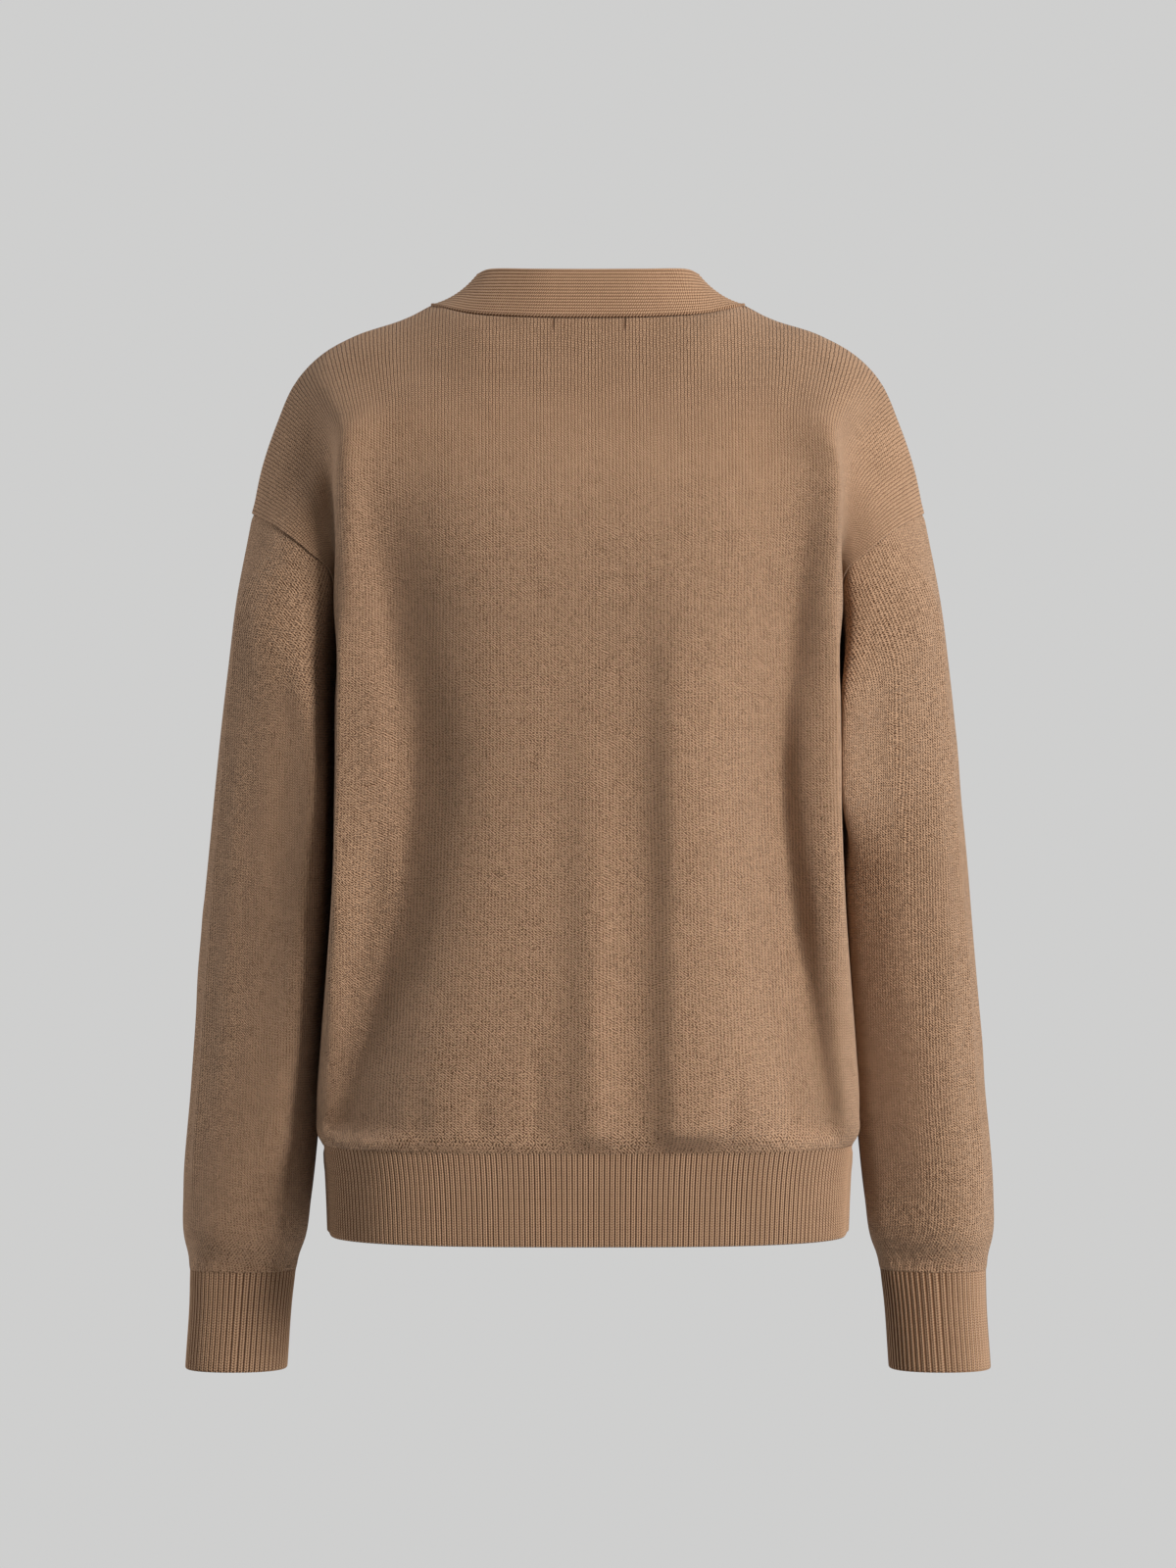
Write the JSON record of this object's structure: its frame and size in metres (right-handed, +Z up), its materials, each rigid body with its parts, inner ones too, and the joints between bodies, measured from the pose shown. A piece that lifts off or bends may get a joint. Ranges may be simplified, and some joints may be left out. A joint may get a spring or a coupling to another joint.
{
  "type": "v-neck cardigan",
  "caption": "Hip-length knitted V-neck cardigan with dropped shoulders, long sleeves and ribbed hem, cuffs and front band, in its worn shape.",
  "frame": {"origin": "middle of the neck at the height of the high shoulder points, where the wearer holds it up", "axes": "+Z up, +X towards the wearer's left sleeve, +Y out of the back and -Y out of the buttoned front"},
  "size_m": [0.5526, 0.2649, 0.7468],
  "materials": {
    "plain_knit": "matt stocking stitch with a fine nap",
    "rib_knit": "matt one by one rib",
    "button": "satin"
  },
  "bodies": {
    "root": {"back": "plain_knit", "front_left": "plain_knit", "front_right": "plain_knit", "sleeve_left": "plain_knit", "sleeve_right": "plain_knit", "hem_rib_back": "rib_knit", "hem_rib_front_left": "rib_knit", "hem_rib_front_right": "rib_knit", "cuff_left": "rib_knit", "cuff_right": "rib_knit", "front_band": "rib_knit", "button_1": "button", "button_2": "button", "button_3": "button", "button_4": "button", "button_5": "button", "button_6": "button"}
  },
  "joints": []
}
